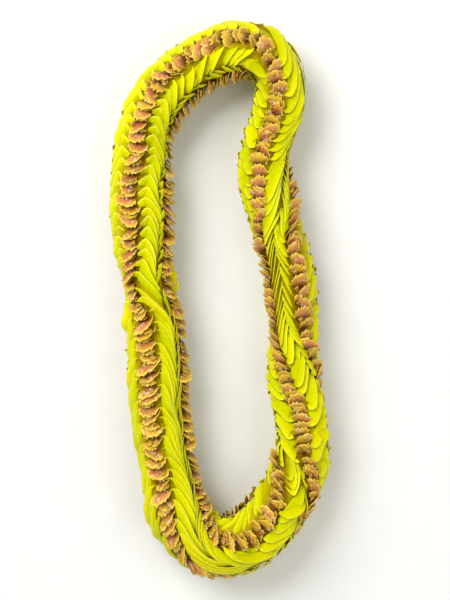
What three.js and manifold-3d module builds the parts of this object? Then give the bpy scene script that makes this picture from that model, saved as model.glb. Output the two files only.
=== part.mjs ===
// Fresh flower lei: a closed rope of claw-shaped lime blossoms, strung through their bases on one
// thread. Four rows of curled petals run along it, with four rows of brown-pink calyx cups between.
// Millimetres. +X across, +Y along the lying lei, +Z up from the surface it lies on.
import * as THREE from "three";
import Module from "manifold-3d";

// COUNTS
const rows = 4; // petal rows, and as many calyx rows
const stretches = 11; // lengths of rope, each with nodes of its own
const perStretch = 10; // blossoms of one row in a stretch
const firstBlossom = -2; // where the first stretch starts, so that its ends miss the tight bends

// CENTRELINE, the control points of a closed uniform cubic B-spline, down the left strand first
const way = [
  [-71, 145], [-73, 102], [-70, 59], [-65, 17], [-59, -25], [-58, -67],
  [-54, -110], [-48, -151], [-43, -195], [-10, -229], [34, -216], [61, -178],
  [74, -138], [70, -95], [65, -53], [64, -11], [61, 32], [48, 73],
  [35, 114], [47, 155], [58, 200], [23, 230], [-23, 215], [-54, 183],
];

// ROPE RADIUS at 24 even places along the centreline
const girth = [
  26.6, 28.8, 27.4, 25.2, 27.6, 28.2, 28, 27.2, 29, 31.2, 30.6, 27.6,
  26.4, 26, 24.8, 24.8, 25.6, 25.6, 25.6, 25.4, 25.4, 29.2, 27.2, 28.6,
];

// TWIST: where the first calyx row faces, in degrees from straight up toward the outside of the
// loop, at distances along the centreline. It turns back as far as it turns on.
const twistAt = [
  [0, 12], [18, 5], [54, 24], [72, 20], [108, 33], [126, 45], [144, 39], [161, 24], [180, 20],
  [224, 21], [242, 27], [260, 22], [278, 28], [309, 17], [341, 28], [366, 54], [390, 81],
  [412, 91], [440, 82], [466, 68], [485, 44], [504, 12], [520, 0], [543, -2], [561, -16],
  [589, -38], [610, -58], [628, -65], [673, -70], [700, -63], [722, -37], [753, -17],
  [780, -10], [807, -4], [852, -4], [875, 17], [901, 25], [942, 18], [969, 20], [1014.6, 12],
];

// PETALS: five lines of points across a row, from edge to spine to edge. Tips lean back along the
// rope, furthest at the edges, and each tip overhangs the root of the petal before it.
const petalLine = [-1, -0.52, 0, 0.52, 1];
const petalTipAlong = [-5, -1.2, 3.6, -1.2, -5];
const petalTipDrop = [0.9, 0.3, 0, 0.3, 0.9];
const petalRootDrop = [5.6, 4, 2.5, 4, 5.6];
const petalOverhang = 1.5;

// CALYX CUPS: three lines of points across a row. Rims are arched and lean on along the rope.
const calyxLine = [-1, 0, 1];
const calyxRootAlong = [-3.5, -0.7, -3.5];
const calyxTipDrop = [1.5, -0.8, 1.5];
const calyxRootDrop = [6, 4.8, 6];
const calyxOverhang = 1.8;
const calyxHalf = 19; // half the angle that a calyx row takes

// INSIDE
const notchFloor = 13; // radius where the petal body's notch ends
const floorGap = 0.45; // under a calyx row
const sideGap = 0.75; // between a petal row and a calyx row where the rope runs straight
const twistGap = 20; // more gap, mm, for each radian per mm of twist
const bendGap = 26; // more gap, mm, for each 1/mm of bend
const endGap = 0.7; // between two stretches
const boreRadius = 1.6;
const threadRadius = 0.75;
const cavityRadius = 3.4; // the bore round the knot
const knotAt = 10; // the knot sits where this stretch begins
const insideAlong = -3.5; // where the bore, floor and thread points of a blossom lie

// LYING: the underside is pressed softly, then its lowest tips are flattened
const sink = 0.9;
const soft = 2.5;
const flatHeight = 0.95;

const deg = THREE.MathUtils.degToRad;
const mod = (a, n) => ((a % n) + n) % n;

// A repeatable draw between -1 and 1 for whole numbers a, b and c.
function draw(a, b, c) {
  let h = Math.imul(mod(a, stretches * perStretch) + 11, 374761393);
  h = Math.imul(h ^ (b + 7), 668265263) ^ Math.imul(c + 3, 1274126177);
  h = Math.imul(h ^ (h >>> 13), 1103515245);
  return (((h ^ (h >>> 16)) >>> 0) / 4294967295) * 2 - 1;
}

// Closed uniform cubic B-spline through a list, and its slope.
function weights(u) {
  return [(1 - u) ** 3, 3 * u ** 3 - 6 * u * u + 4, -3 * u ** 3 + 3 * u * u + 3 * u + 1, u ** 3]
    .map((w) => w / 6);
}
function spline(list, t) {
  const i = Math.floor(t);
  return weights(t - i).reduce((sum, w, a) => sum + w * list[mod(i - 1 + a, list.length)], 0);
}

// Even steps along the centreline.
const wayX = way.map((p) => p[0]);
const wayY = way.map((p) => p[1]);
const fine = 4800;
const reach = [0];
for (let i = 1; i <= fine; i++) {
  const [a, b] = [((i - 1) * way.length) / fine, (i * way.length) / fine];
  const step = Math.hypot(spline(wayX, b) - spline(wayX, a), spline(wayY, b) - spline(wayY, a));
  reach.push(reach[i - 1] + step);
}
const ropeLength = reach[fine];
const pitch = ropeLength / (stretches * perStretch);

// Position, outward direction and curvature of the centreline at distance s.
function lineAt(s) {
  const d = mod(s, ropeLength);
  let low = 0, high = fine;
  while (high - low > 1) {
    const mid = (low + high) >> 1;
    if (reach[mid] <= d) low = mid; else high = mid;
  }
  const t = ((low + (d - reach[low]) / (reach[high] - reach[low])) * way.length) / fine;
  const h = 0.02;
  const [x0, x1, x2] = [t - h, t, t + h].map((v) => spline(wayX, mod(v, way.length)));
  const [y0, y1, y2] = [t - h, t, t + h].map((v) => spline(wayY, mod(v, way.length)));
  const [dx, dy] = [(x2 - x0) / 2, (y2 - y0) / 2];
  const speed = Math.hypot(dx, dy);
  const bend = (dx * (y2 - 2 * y1 + y0) - dy * (x2 - 2 * x1 + x0)) / speed ** 3;
  return { x: x1, y: y1, nx: dy / speed, ny: -dx / speed, bend };
}

function radiusAt(s) {
  return spline(girth, (mod(s, ropeLength) / ropeLength) * girth.length);
}

// The twist at s: a smooth curve through the table, closed where the rope closes.
const places = twistAt.length - 1;
const whole = twistAt[places][0];
function turnPoint(i) {
  const [d, a] = twistAt[mod(i, places)];
  return [d + Math.floor(i / places) * whole, a];
}
function turnSlope(i) {
  const [[d0, a0], [d1, a1]] = [turnPoint(i - 1), turnPoint(i + 1)];
  return (a1 - a0) / (d1 - d0);
}
function twist(s) {
  const d = (mod(s, ropeLength) / ropeLength) * whole;
  const i = twistAt.findIndex((p) => p[0] > d) - 1;
  const [[d0, a0], [d1, a1]] = [turnPoint(i), turnPoint(i + 1)];
  const [u, w] = [(d - d0) / (d1 - d0), d1 - d0];
  return a0 + (a1 - a0) * u * u * (3 - 2 * u)
    + w * turnSlope(i) * u * (1 - u) ** 2 - w * turnSlope(i + 1) * u * u * (1 - u);
}

// A calyx row is slimmer where the petals beside it bulge over.
function calyxHalfAt(s) {
  return calyxHalf - 5 * Math.exp(-(((mod(s, ropeLength) - 128) / 20) ** 2));
}

// Half the gap between a petal row and a calyx row, as an angle at radius rho.
function slip(s, rho) {
  const rate = deg(Math.abs(twist(s + 4) - twist(s - 4))) / 8;
  const gap = sideGap + twistGap * Math.min(rate, 0.05) + bendGap * Math.abs(lineAt(s).bend);
  return THREE.MathUtils.radToDeg(Math.asin(gap / 2 / rho));
}

// A point of the rope: distance s along it, rho from its centreline, turned from the first row.
function place(s, rho, turn) {
  const line = lineAt(s);
  const a = deg(twist(s) + turn);
  let z = radiusAt(s) - sink + rho * Math.cos(a);
  if (z < soft) z = soft * Math.exp((z - soft) / soft);
  return [line.x + line.nx * rho * Math.sin(a), line.y + line.ny * rho * Math.sin(a), z];
}

// Relief is shallower on the inside of a bend, where blossoms crowd together.
function reliefAt(s, turn) {
  const line = lineAt(s);
  const along = 1 + line.bend * radiusAt(s) * Math.sin(deg(twist(s) + turn));
  return Math.min(1, 0.3 + 0.95 * along);
}

// SKIN: points and outward triangles of one closed body
class Skin {
  constructor() {
    this.points = [];
    this.faces = [];
  }
  add(p) {
    this.points.push(p);
    return this.points.length - 1;
  }
  face(a, b, c) {
    this.faces.push([a, b, c]);
  }
  // The faces between two rings of as many points, a before b along the rope.
  band(a, b) {
    for (let c = 0; c + 1 < a.length; c++) {
      this.face(a[c], a[c + 1], b[c + 1]);
      this.face(a[c], b[c + 1], b[c]);
    }
  }
  // The faces between two lines that run along the rope, q next round from p. Where both lines have
  // their next point level, the one named by first steps on before the other.
  zip(p, q, first) {
    let i = 0, j = 0;
    while (i + 1 < p.length || j + 1 < q.length) {
      const [pNext, qNext] = [(i + 1) * (q.length - 1), (j + 1) * (p.length - 1)];
      if (pNext < qNext || (pNext === qNext && first === p)) this.face(p[i], q[j], p[++i]);
      else this.face(p[i], q[j], q[++j]);
    }
  }
  // The side of each tip, which stands over the straight line between its two roots.
  ears(roots, tips, flip) {
    tips.forEach((tip, i) => {
      if (flip) this.face(roots[i + 1], roots[i], tip);
      else this.face(roots[i], roots[i + 1], tip);
    });
  }
  solid(Manifold, Mesh) {
    return new Manifold(new Mesh({
      numProp: 3,
      vertProperties: new Float32Array(this.points.flat()),
      triVerts: new Uint32Array(this.faces.flat()),
    }));
  }
}

const column = (rings, c) => rings.map((ring) => ring[c]);
const every = (n, make) => Array.from({ length: n }, (_, i) => make(i));

// PETAL BODY of one stretch: four lobes of overlapping petals round the thread's bore
function petalBody(stretch) {
  const skin = new Skin();
  const i0 = firstBlossom + stretch * perStretch;
  const back = (r) => (r === perStretch ? endGap : 0);
  const lobes = every(rows, (j) => {
    const middle = 45 + 90 * j;
    const point = (i, c, along, drop) => {
      const s = i * pitch + along;
      const rho = radiusAt(s) - drop * reliefAt(s, middle);
      const half = 45 - calyxHalfAt(s) - slip(s, rho);
      const sway = Math.abs(petalLine[c]) < 1 ? 1.6 * draw(i, j, c) : 0;
      return skin.add(place(s, rho, middle + petalLine[c] * half + sway));
    };
    const roots = every(perStretch + 1, (r) => petalLine.map((_, c) => {
      const drop = petalRootDrop[c];
      return point(i0 + r, c, petalTipAlong[c] + petalOverhang - back(r), drop);
    }));
    const tips = every(perStretch, (r) => petalLine.map((_, c) => {
      const i = i0 + r;
      const along = petalTipAlong[c] + 0.8 * draw(i, j + 10, c) + 0.5 * draw(i, j + 20, 9);
      return point(i, c, Math.min(along, petalTipAlong[c] + 0.6), petalTipDrop[c]
        - 0.7 * draw(i, j + 30, c));
    }));
    for (let r = 0; r < perStretch; r++) {
      skin.band(roots[r], tips[r]);
      skin.band(tips[r], roots[r + 1]);
    }
    return { roots, tips };
  });
  const inner = perStretch / 2 + 1;
  const station = (k) => (i0 + 2 * k) * pitch + insideAlong - back(2 * k);
  const floorPoint = (j, side) => every(inner, (k) => {
    const s = station(k);
    const half = calyxHalfAt(s) + slip(s, notchFloor);
    return skin.add(place(s, notchFloor, 90 * j + side * half));
  });
  const floors = every(rows, (j) => [floorPoint(j, -1), floorPoint(j, 1)]);
  const bore = every(rows, (j) => every(inner, (k) => {
    const atKnot = mod(stretch - knotAt, stretches) === 0 && k === 0;
    const beforeKnot = mod(stretch + 1 - knotAt, stretches) === 0 && k === inner - 1;
    const radius = atKnot || beforeKnot ? cavityRadius : boreRadius;
    return skin.add(place(station(k), radius, 45 + 90 * j));
  }));
  for (let j = 0; j < rows; j++) {
    const next = (j + 1) % rows;
    const { roots, tips } = lobes[j];
    const [low, high] = [column(roots, 0), column(roots, 4)];
    skin.zip(floors[j][1], low, low);
    skin.ears(low, column(tips, 0), true);
    skin.zip(high, floors[next][0], high);
    skin.ears(high, column(tips, 4), false);
    skin.zip(floors[j][0], floors[j][1], floors[j][0]);
    skin.zip(bore[next], bore[j], bore[j]);
    for (const r of [0, perStretch]) {
      const k = r / 2;
      const rim = [floors[j][1][k], ...roots[r], floors[next][0][k], floors[next][1][k]];
      const end = r > 0;
      for (let c = 0; c + 1 < rim.length; c++) {
        if (end) skin.face(rim[c], rim[c + 1], bore[j][k]);
        else skin.face(rim[c + 1], rim[c], bore[j][k]);
      }
      if (end) skin.face(bore[j][k], rim[rim.length - 1], bore[next][k]);
      else skin.face(rim[rim.length - 1], bore[j][k], bore[next][k]);
    }
  }
  return skin;
}

// CALYX ROW of one stretch: overlapping cups that stand in a notch of the petal body
function calyxRow(stretch, j) {
  const skin = new Skin();
  const i0 = firstBlossom + stretch * perStretch;
  const back = (r) => (r === perStretch ? endGap : 0);
  const middle = 90 * j;
  const point = (i, c, along, drop) => {
    const s = i * pitch + along;
    const rho = radiusAt(s) - drop * reliefAt(s, middle);
    const half = calyxHalfAt(s) - slip(s, rho);
    const sway = c === 1 ? 2 * draw(i, j + 40, c) : 0;
    return skin.add(place(s, rho, middle + calyxLine[c] * half + sway));
  };
  const roots = every(perStretch + 1, (r) => calyxLine.map((_, c) =>
    point(i0 + r, c, calyxRootAlong[c] - back(r), calyxRootDrop[c])));
  const tips = every(perStretch, (r) => calyxLine.map((_, c) => {
    const i = i0 + r;
    const along = pitch + calyxRootAlong[c] + calyxOverhang + (c === 1 ? draw(i, j + 50, c) : 0);
    const lift = c === 1 ? 0.9 * draw(i, j + 60, c) : 0.5 * draw(i, j + 70, c);
    return point(i, c, along, calyxTipDrop[c] - lift);
  }));
  const inner = perStretch / 2 + 1;
  const rho = notchFloor + floorGap;
  const bottomPoint = (side) => every(inner, (k) => {
    const s = (i0 + 2 * k) * pitch + insideAlong - back(2 * k);
    return skin.add(place(s, rho, middle + side * (calyxHalfAt(s) - slip(s, rho))));
  });
  const [left, right] = [bottomPoint(-1), bottomPoint(1)];
  for (let r = 0; r < perStretch; r++) {
    skin.band(roots[r], tips[r]);
    skin.band(tips[r], roots[r + 1]);
  }
  const [low, high] = [column(roots, 0), column(roots, 2)];
  skin.zip(left, low, low);
  skin.ears(low, column(tips, 0), true);
  skin.zip(high, right, high);
  skin.ears(high, column(tips, 2), false);
  skin.zip(right, left, left);
  for (const r of [0, perStretch]) {
    const rim = [...roots[r], right[r / 2], left[r / 2]];
    for (const [a, b, c] of [[0, 1, 4], [1, 3, 4], [1, 2, 3]]) {
      if (r > 0) skin.face(rim[a], rim[b], rim[c]);
      else skin.face(rim[c], rim[b], rim[a]);
    }
  }
  return skin;
}

// THREAD: one closed loop through every blossom, tied in a knot with two short ends
const knotDistance = (firstBlossom + knotAt * perStretch) * pitch + insideAlong;

function threadLoop() {
  const skin = new Skin();
  const count = (stretches * perStretch) / 2;
  const rings = every(count, (k) => every(rows, (j) => {
    const s = (firstBlossom + 2 * k) * pitch + insideAlong;
    return skin.add(place(s, threadRadius, 45 + 90 * j));
  }));
  rings.forEach((ring, k) => {
    const next = rings[(k + 1) % count];
    skin.band([...ring, ring[0]], [...next, next[0]]);
  });
  return skin;
}

// Moves a three.js form onto the thread, its Z along the rope, and gives it as a skin.
function onThread(geometry, along, side, up) {
  const line = lineAt(knotDistance);
  const z = radiusAt(knotDistance) - sink;
  const way = new THREE.Vector3(-line.ny, line.nx, 0);
  const out = new THREE.Vector3(line.nx, line.ny, 0);
  const turn = new THREE.Matrix4().makeBasis(out, new THREE.Vector3(0, 0, 1), way.clone().negate());
  geometry.applyMatrix4(turn);
  const at = new THREE.Vector3(line.x, line.y, z + up)
    .addScaledVector(way, along).addScaledVector(out, side);
  geometry.translate(at.x, at.y, at.z);
  const skin = new Skin();
  const index = geometry.index.array;
  const position = geometry.attributes.position;
  const seen = new Map();
  const same = every(position.count, (i) => {
    const p = [position.getX(i), position.getY(i), position.getZ(i)];
    const key = p.map((v) => v.toFixed(4)).join();
    if (!seen.has(key)) seen.set(key, skin.add(p));
    return seen.get(key);
  });
  for (let i = 0; i < index.length; i += 3) {
    const [a, b, c] = [same[index[i]], same[index[i + 1]], same[index[i + 2]]];
    if (a !== b && b !== c && a !== c) skin.face(a, b, c);
  }
  return skin;
}

const { Manifold, Mesh } = await Module().then((wasm) => {
  wasm.setup();
  return wasm;
});

const colours = { petals: 0xcddc14, calyx: 0xa9654b, thread: 0xe9e2c8 };
const lei = new THREE.Group();
lei.name = "flower_lei";

function addMesh(name, solid, colour) {
  const { vertProperties, triVerts } = solid.getMesh();
  const geometry = new THREE.BufferGeometry();
  geometry.setAttribute("position", new THREE.BufferAttribute(vertProperties, 3));
  geometry.setIndex(new THREE.BufferAttribute(triVerts, 1));
  geometry.computeVertexNormals();
  const material = new THREE.MeshStandardMaterial({ color: colour, roughness: 0.6 });
  const mesh = new THREE.Mesh(geometry, material);
  mesh.name = name;
  lei.add(mesh);
}

// The lowest tips are cut to one flat height, where the lei rests.
const flattened = (skin) => skin.solid(Manifold, Mesh).trimByPlane([0, 0, 1], flatHeight);

for (let k = 0; k < stretches; k++) {
  const number = String(k + 1).padStart(2, "0");
  addMesh(`petals_${number}`, flattened(petalBody(k)), colours.petals);
  for (let j = 0; j < rows; j++)
    addMesh(`calyxes_${"abcd"[j]}_${number}`, flattened(calyxRow(k, j)), colours.calyx);
}

let thread = threadLoop().solid(Manifold, Mesh);
for (const [along, lean] of [[-0.9, 0.35], [0.9, -0.35]]) {
  const turn = new THREE.TorusGeometry(1.2, 0.65, 4, 6).rotateY(lean);
  thread = thread.add(onThread(turn, along, 0, 0).solid(Manifold, Mesh));
}
for (const side of [-1, 1]) {
  const tail = new THREE.CylinderGeometry(0.45, 0.45, 5.5, 4).rotateX(Math.PI / 2);
  thread = thread.add(onThread(tail, side * 2.8, side * 0.8, 0.35).solid(Manifold, Mesh));
}
addMesh("thread", thread, colours.thread);

// ORIGIN: under the middle of the lei, on the surface
const box = new THREE.Box3().setFromObject(lei);
const middle = box.getCenter(new THREE.Vector3());
for (const mesh of lei.children) mesh.geometry.translate(-middle.x, -middle.y, -box.min.z);

export default lei;
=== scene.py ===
# %% [markdown]
# # A fresh flower lei
# A lei is a garland strung from fresh blossoms. This one holds 440 of them, so close together that
# no thread shows: they stand round it in a closed rope about 50 mm thick, laid in a long ring. Each
# blossom gives curled lime-yellow petals, like claws, and a furry pink and golden cup, its calyx. The
# petals show in four rows along the rope and the calyxes in four rows between them.
#
# One blossom could be modelled and copied, but each one here is bent by its neighbours and by the
# rope's turn. So a blossom is a formula instead: numpy works out every copy of a piece at once, in
# millimetres along and around the rope, and one function carries them all to their place.

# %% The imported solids
import bpy
import numpy as np
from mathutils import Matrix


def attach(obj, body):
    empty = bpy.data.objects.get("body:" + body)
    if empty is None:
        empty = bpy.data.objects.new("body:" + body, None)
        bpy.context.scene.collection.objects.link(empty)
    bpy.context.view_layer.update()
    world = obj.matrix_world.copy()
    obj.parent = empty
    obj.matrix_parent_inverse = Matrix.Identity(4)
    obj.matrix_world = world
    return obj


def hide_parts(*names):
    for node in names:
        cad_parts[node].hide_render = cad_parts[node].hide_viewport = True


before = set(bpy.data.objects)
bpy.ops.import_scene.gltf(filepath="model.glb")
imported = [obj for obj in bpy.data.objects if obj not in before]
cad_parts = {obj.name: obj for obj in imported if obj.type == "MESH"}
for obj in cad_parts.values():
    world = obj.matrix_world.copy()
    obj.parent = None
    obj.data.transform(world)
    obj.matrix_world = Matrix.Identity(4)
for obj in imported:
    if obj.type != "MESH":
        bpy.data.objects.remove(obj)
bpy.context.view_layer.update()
rng = np.random.default_rng(40)
print("solids loaded:", len(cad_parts))

# %% [markdown]
# ## Camera
# The lei lies flat, so the camera looks straight down. A camera could be aimed by eye, but its lens
# follows from the picture: 600 pixels of height span 540 mm at the rope's middle height, seen from
# far enough away that the rope's sides look alike all round the ring.

# %% The camera above the ring
AIM_X, AIM_Y = 0.0039, -0.0008  # the point that the camera hangs over, in metres
MID_HEIGHT = 0.026  # the rope's middle height, in metres
DISTANCE, SPAN = 1.15, 0.540  # how far above it the camera hangs, and how much of it shows, in metres
SENSOR = 24.0  # mm
camera_data = bpy.data.cameras.new("camera")
camera_data.sensor_fit = "VERTICAL"
camera_data.sensor_height = SENSOR
camera_data.lens = SENSOR * DISTANCE / SPAN
camera = bpy.data.objects.new("camera", camera_data)
camera.location = (AIM_X, AIM_Y, MID_HEIGHT + DISTANCE)
bpy.context.scene.collection.objects.link(camera)
bpy.context.scene.camera = camera
print("camera lens", round(camera_data.lens, 1), "mm")

# %% [markdown]
# ## The rope's line
# The thread runs through the blossoms in a long ring that is pinched above and wide below. A Blender
# curve object could carry the rope, but every later step needs numbers: the place, the heading, the
# thickness and the turn of the rows at any distance along it. A closed uniform cubic B-spline gives
# them from a few points, and they are the same points as in the solids, so both forms agree.
#
# Places along the rope are in mm from the left strand's top. They run down the left strand, round
# the bottom bend, up the right strand and back over the top.

# %% The rope's way, girth and twist
# The way's points in mm, across and along the lei, and the rope's radius in mm at even steps.
WAY = np.array([
    [-71, 145], [-73, 102], [-70, 59], [-65, 17], [-59, -25], [-58, -67], [-54, -110], [-48, -151],
    [-43, -195], [-10, -229], [34, -216], [61, -178], [74, -138], [70, -95], [65, -53], [64, -11],
    [61, 32], [48, 73], [35, 114], [47, 155], [58, 200], [23, 230], [-23, 215], [-54, 183]], float)
GIRTH = np.array([
    26.6, 28.8, 27.4, 25.2, 27.6, 28.2, 28, 27.2, 29, 31.2, 30.6, 27.6,
    26.4, 26, 24.8, 24.8, 25.6, 25.6, 25.6, 25.4, 25.4, 29.2, 27.2, 28.6])
# Distance along the rope, then the angle of the first calyx row from straight up, in degrees.
TWIST = np.array([
    [0, 12], [18, 5], [54, 24], [72, 20], [108, 33], [126, 45], [144, 39], [161, 24], [180, 20],
    [224, 21], [242, 27], [260, 22], [278, 28], [309, 17], [341, 28], [366, 54], [390, 81],
    [412, 91], [440, 82], [466, 68], [485, 44], [504, 12], [520, 0], [543, -2], [561, -16],
    [589, -38], [610, -58], [628, -65], [673, -70], [700, -63], [722, -37], [753, -17],
    [780, -10], [807, -4], [852, -4], [875, 17], [901, 25], [942, 18], [969, 20], [1014.6, 12]])
# Rows of blossoms round the rope, and how many stretches it has of how many blossoms each.
ROWS, STRETCHES, PER_STRETCH = 4, 11, 10
print("blossoms:", ROWS * STRETCHES * PER_STRETCH)


# %% Two kinds of closed curve
def spline(points, t):
    """Closed uniform cubic B-spline: p(t) = sum of w_a(u) p_(i-1+a) with u = t - i and
    w = ((1-u)^3, 3u^3-6u^2+4, -3u^3+3u^2+3u+1, u^3) / 6."""
    i = np.floor(t).astype(int)
    u = t - i
    w = np.stack([(1 - u)**3, 3*u**3 - 6*u**2 + 4, -3*u**3 + 3*u**2 + 3*u + 1, u**3]) / 6
    picked = points[(i[None] - 1 + np.arange(4)[:, None]) % len(points)]
    return np.einsum("an,an...->n...", w, picked)


def closed_curve(table, s, whole):
    """A smooth closed curve through (place, value) rows: cubic Hermite, with the slope at each row
    the rise over run between its two neighbours."""
    d, a = table[:-1, 0], table[:-1, 1]
    d = np.concatenate([d[-2:] - whole, d, d[:3] + whole])
    a = np.concatenate([a[-2:], a, a[:3]])
    slope = np.zeros_like(a)
    slope[1:-1] = (a[2:] - a[:-2]) / (d[2:] - d[:-2])
    i = np.clip(np.searchsorted(d, s, side="right") - 1, 1, len(d) - 3)
    w = d[i + 1] - d[i]
    u = (s - d[i]) / w
    step = a[i] + (a[i + 1] - a[i]) * u * u * (3 - 2*u)
    return step + w * u * (1 - u) * (slope[i] * (1 - u) - slope[i + 1] * u)


print("the way starts at", spline(WAY, np.zeros(1))[0].round(1), "mm")

# %% The line in steps of about 0.2 mm
LINE_STEPS = 4800
fine = np.linspace(0, len(WAY), LINE_STEPS + 1)
line = spline(WAY, fine)
reach = np.concatenate([[0], np.cumsum(np.hypot(*np.diff(line, axis=0).T))])
LENGTH = reach[-1]
PITCH = LENGTH / (STRETCHES * PER_STRETCH)
heading = np.gradient(line, axis=0)
heading[[0, -1]] = line[1] - line[-2]
heading /= np.hypot(*heading.T)[:, None]
radius_table = spline(GIRTH, (reach / LENGTH * len(GIRTH)) % len(GIRTH))
TWIST_END = TWIST[-1, 0]
twist_table = closed_curve(TWIST, reach / LENGTH * TWIST_END % TWIST_END, TWIST_END)
print("rope", round(LENGTH, 1), "mm round, pitch", round(PITCH, 2), "mm")

# %% [markdown]
# ## Placing a point on the rope
# On the real lei the blossoms spread from the thread to the rope's skin, and those underneath are
# pressed flat by its weight. A piece could be bent with a Curve modifier, but that would stretch
# what it carries and leave its place in the object. Here a point is three numbers: a distance s
# along the rope, a distance rho from its centreline, and an angle turned from the first calyx row.
# The rope isn't quite round, so a table says how much it bulges to either side, and a soft press
# keeps everything above the surface it lies on.

# %% The rope's bulge and the press
# Distance along the rope, then the bulge outward and inward past the girth, all in mm.
BULGE = np.array([
    [0, -0.6, -2.1], [40, -0.6, 0.9], [60, 2, 2.2], [100, 3.3, -0.1], [135, -1.1, 1.3],
    [162, 0.4, -0.2], [200, -1.8, 1.5], [235, -0.6, 0.7], [270, -0.6, -0.9], [310, -3.6, 0],
    [342, 0.4, 1.5], [375, -0.2, -0.9], [420, 0.8, 0.1], [465, -0.6, 1.5], [495, 3.2, 1.9],
    [525, 1.6, 0.1], [560, 1.3, 4.4], [576, 0.4, 3.2], [612, 1.6, -3.5], [660, 1.4, -1.6],
    [700, -0.2, -1.1], [740, 2.2, -0.2], [790, -1.8, 0.5], [828, 3.4, 0.3], [846, 1.2, -4.3],
    [870, 0.9, -2.7], [885, -0.9, 0.9], [915, -3.8, 3.4], [940, -4.9, 1.6], [972, -0.8, 1.1]], float)
MIDDLE = np.array([-0.2691, -1.4257])  # where the middle of the solids lies among the way's points
# The rest is in mm too.
SINK = 0.9  # how deep the rope sinks into what it lies on
SOFT = 2.5  # the height below which it is pressed softly
FLAT = 0.95  # where the solids were cut flat, which is their height 0
HARD = 0.35  # the height over which the last press rounds off
TUCKED = 3.5  # how much less the sides bulge below the rope's middle
print("bulge from", BULGE[:, 1:].min(), "to", BULGE[:, 1:].max(), "mm")


# %% Ramps, humps and tables
def ramp(x, low, high):
    """Smooth step from 0 at low to 1 at high."""
    t = np.clip((x - low) / (high - low), 0, 1)
    return t * t * (3 - 2 * t)


def hump(s, middle, spread):
    """1 near a place along the rope, fading as e^-((s - middle) / spread)^4."""
    return np.exp(-((s % LENGTH - middle) / spread)**4)


def listed(table, k, s):
    """Column k of a table of places along the rope, read between its rows."""
    return np.interp(s, table[:, 0], table[:, k], period=LENGTH)


def radius_at(s):
    """The rope's radius R at s, read from the B-spline of GIRTH."""
    return np.interp(s % LENGTH, reach, radius_table)


def angle_at(s, row):
    """The angle of a row from straight up, in radians: the twist plus a quarter turn for each row."""
    return np.radians(np.interp(s % LENGTH, reach, twist_table) + 90 * row)


print("row twist from", round(twist_table.min()), "to", round(twist_table.max()), "degrees")


# %% A point's place in the world
def place(s, rho, turn):
    """x, y = line(s) + rho sin(a) n(s) and z = R(s) - SINK + rho cos(a), with a the twist plus turn
    and n the outward normal. First rho grows by the bulge, as (rho/R)^2 and as sin(a)^2. Below SOFT,
    z becomes SOFT e^(z/SOFT - 1). Then it is lowered by FLAT, and HARD ln(1 + e^(z/HARD)) keeps it
    above 0. Given in mm and degrees, and returned in metres."""
    d = s % LENGTH
    x, y, ahead_x, ahead_y, twist = (np.interp(d, reach, v) for v in (*line.T, *heading.T, twist_table))
    a = np.radians(twist + turn)
    outward, inward = np.maximum(np.sin(a), 0), np.minimum(np.sin(a), 0)
    bulge = listed(BULGE, 1, d) * outward**2 + listed(BULGE, 2, d) * inward**2
    bulge = bulge - TUCKED * np.sin(a)**2 * ramp(-np.cos(a), -0.1, 0.4)
    rho = rho * (1 + bulge * rho / radius_at(s)**2)
    out = rho * np.sin(a)
    z = radius_at(s) - SINK + rho * np.cos(a)
    z = np.where(z < SOFT, SOFT * np.exp(np.minimum(z, SOFT) / SOFT - 1), z) - FLAT
    z = HARD * np.logaddexp(0, z / HARD)
    xyz = [x + ahead_y * out - MIDDLE[0], y - ahead_x * out - MIDDLE[1], z]
    return np.stack(np.broadcast_arrays(*xyz), -1) / 1000


print("top of the first ring, in metres:", place(0.0, radius_at(0.0), 0.0).round(4))

# %% [markdown]
# ## Meshes from grids
# Petals and calyxes are thin, but they have two faces and a rim. A flat sheet with a Solidify
# modifier would do for a few of them. For thousands it is lighter to make each one a closed tube
# that is pressed flat: a grid of rings, each ring running once round the sheet. At both ends a strip
# of faces from one side of the sheet to the other closes the tube. All copies of one kind go into
# one mesh, with numbers on every point that the materials read later.

# %% Faces of a pressed tube
def tube_faces(copies, rings, points, flip=False):
    """Quads between neighbouring rings. Each end ring is closed between point k and its mirror
    image, points - k, by quads and a triangle at either side."""
    r, p = np.meshgrid(np.arange(rings - 1), np.arange(points), indexing="ij")
    q = (p + 1) % points
    walls = np.stack([r*points + p, r*points + q, (r+1)*points + q, (r+1)*points + p], -1)
    k = np.arange(1, points // 2 - 1)
    strip = np.stack([k, points - k, points - k - 1, k + 1], -1)
    tips = np.array([[0, points - 1, 1], [points // 2, points // 2 - 1, points // 2 + 1]])
    last = (rings - 1) * points
    quads = np.concatenate([walls.reshape(-1, 4), strip, strip[:, ::-1] + last])
    tris = np.concatenate([tips, tips[:, ::-1] + last])
    if flip:
        quads, tris = quads[:, ::-1], tris[:, ::-1]
    base = (np.arange(copies) * rings * points)[:, None, None]
    return (quads[None] + base).reshape(-1, 4), (tris[None] + base).reshape(-1, 3)


quads, tris = tube_faces(1, 3, 6)
print("a pressed tube of 3 rings of 6 has", len(quads), "quads and", len(tris), "triangles")


# %% Rings, axes and parts
def ring_of(points):
    """One ring round a thin sheet, as the cosine and sine of even angles: c runs from 1 on one edge
    to -1 on the other and back, and lens is how far a point stands off the sheet, from -1 to 1."""
    angle = np.linspace(0, 2*np.pi, points, endpoint=False)[None, None]
    return np.cos(angle), np.sin(angle)


def fill_axes(i, j, r):
    """Blossom numbers, rows and random columns, with two more axes, so that they fill grids of
    copies, rings and points."""
    return i[:, None, None], j[:, None, None], r.T[:, :, None, None]


def part(grid, quads, tris, values):
    """One part of a mesh, its values spread over the same rings as its points."""
    flat = {key: np.broadcast_to(v, grid.shape[:-1]).ravel() for key, v in values.items()}
    return {"points": grid.reshape(-1, 3), "quads": quads, "tris": tris, "values": flat}


print("c round a ring of 6:", ring_of(6)[0].ravel().round(1))


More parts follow.
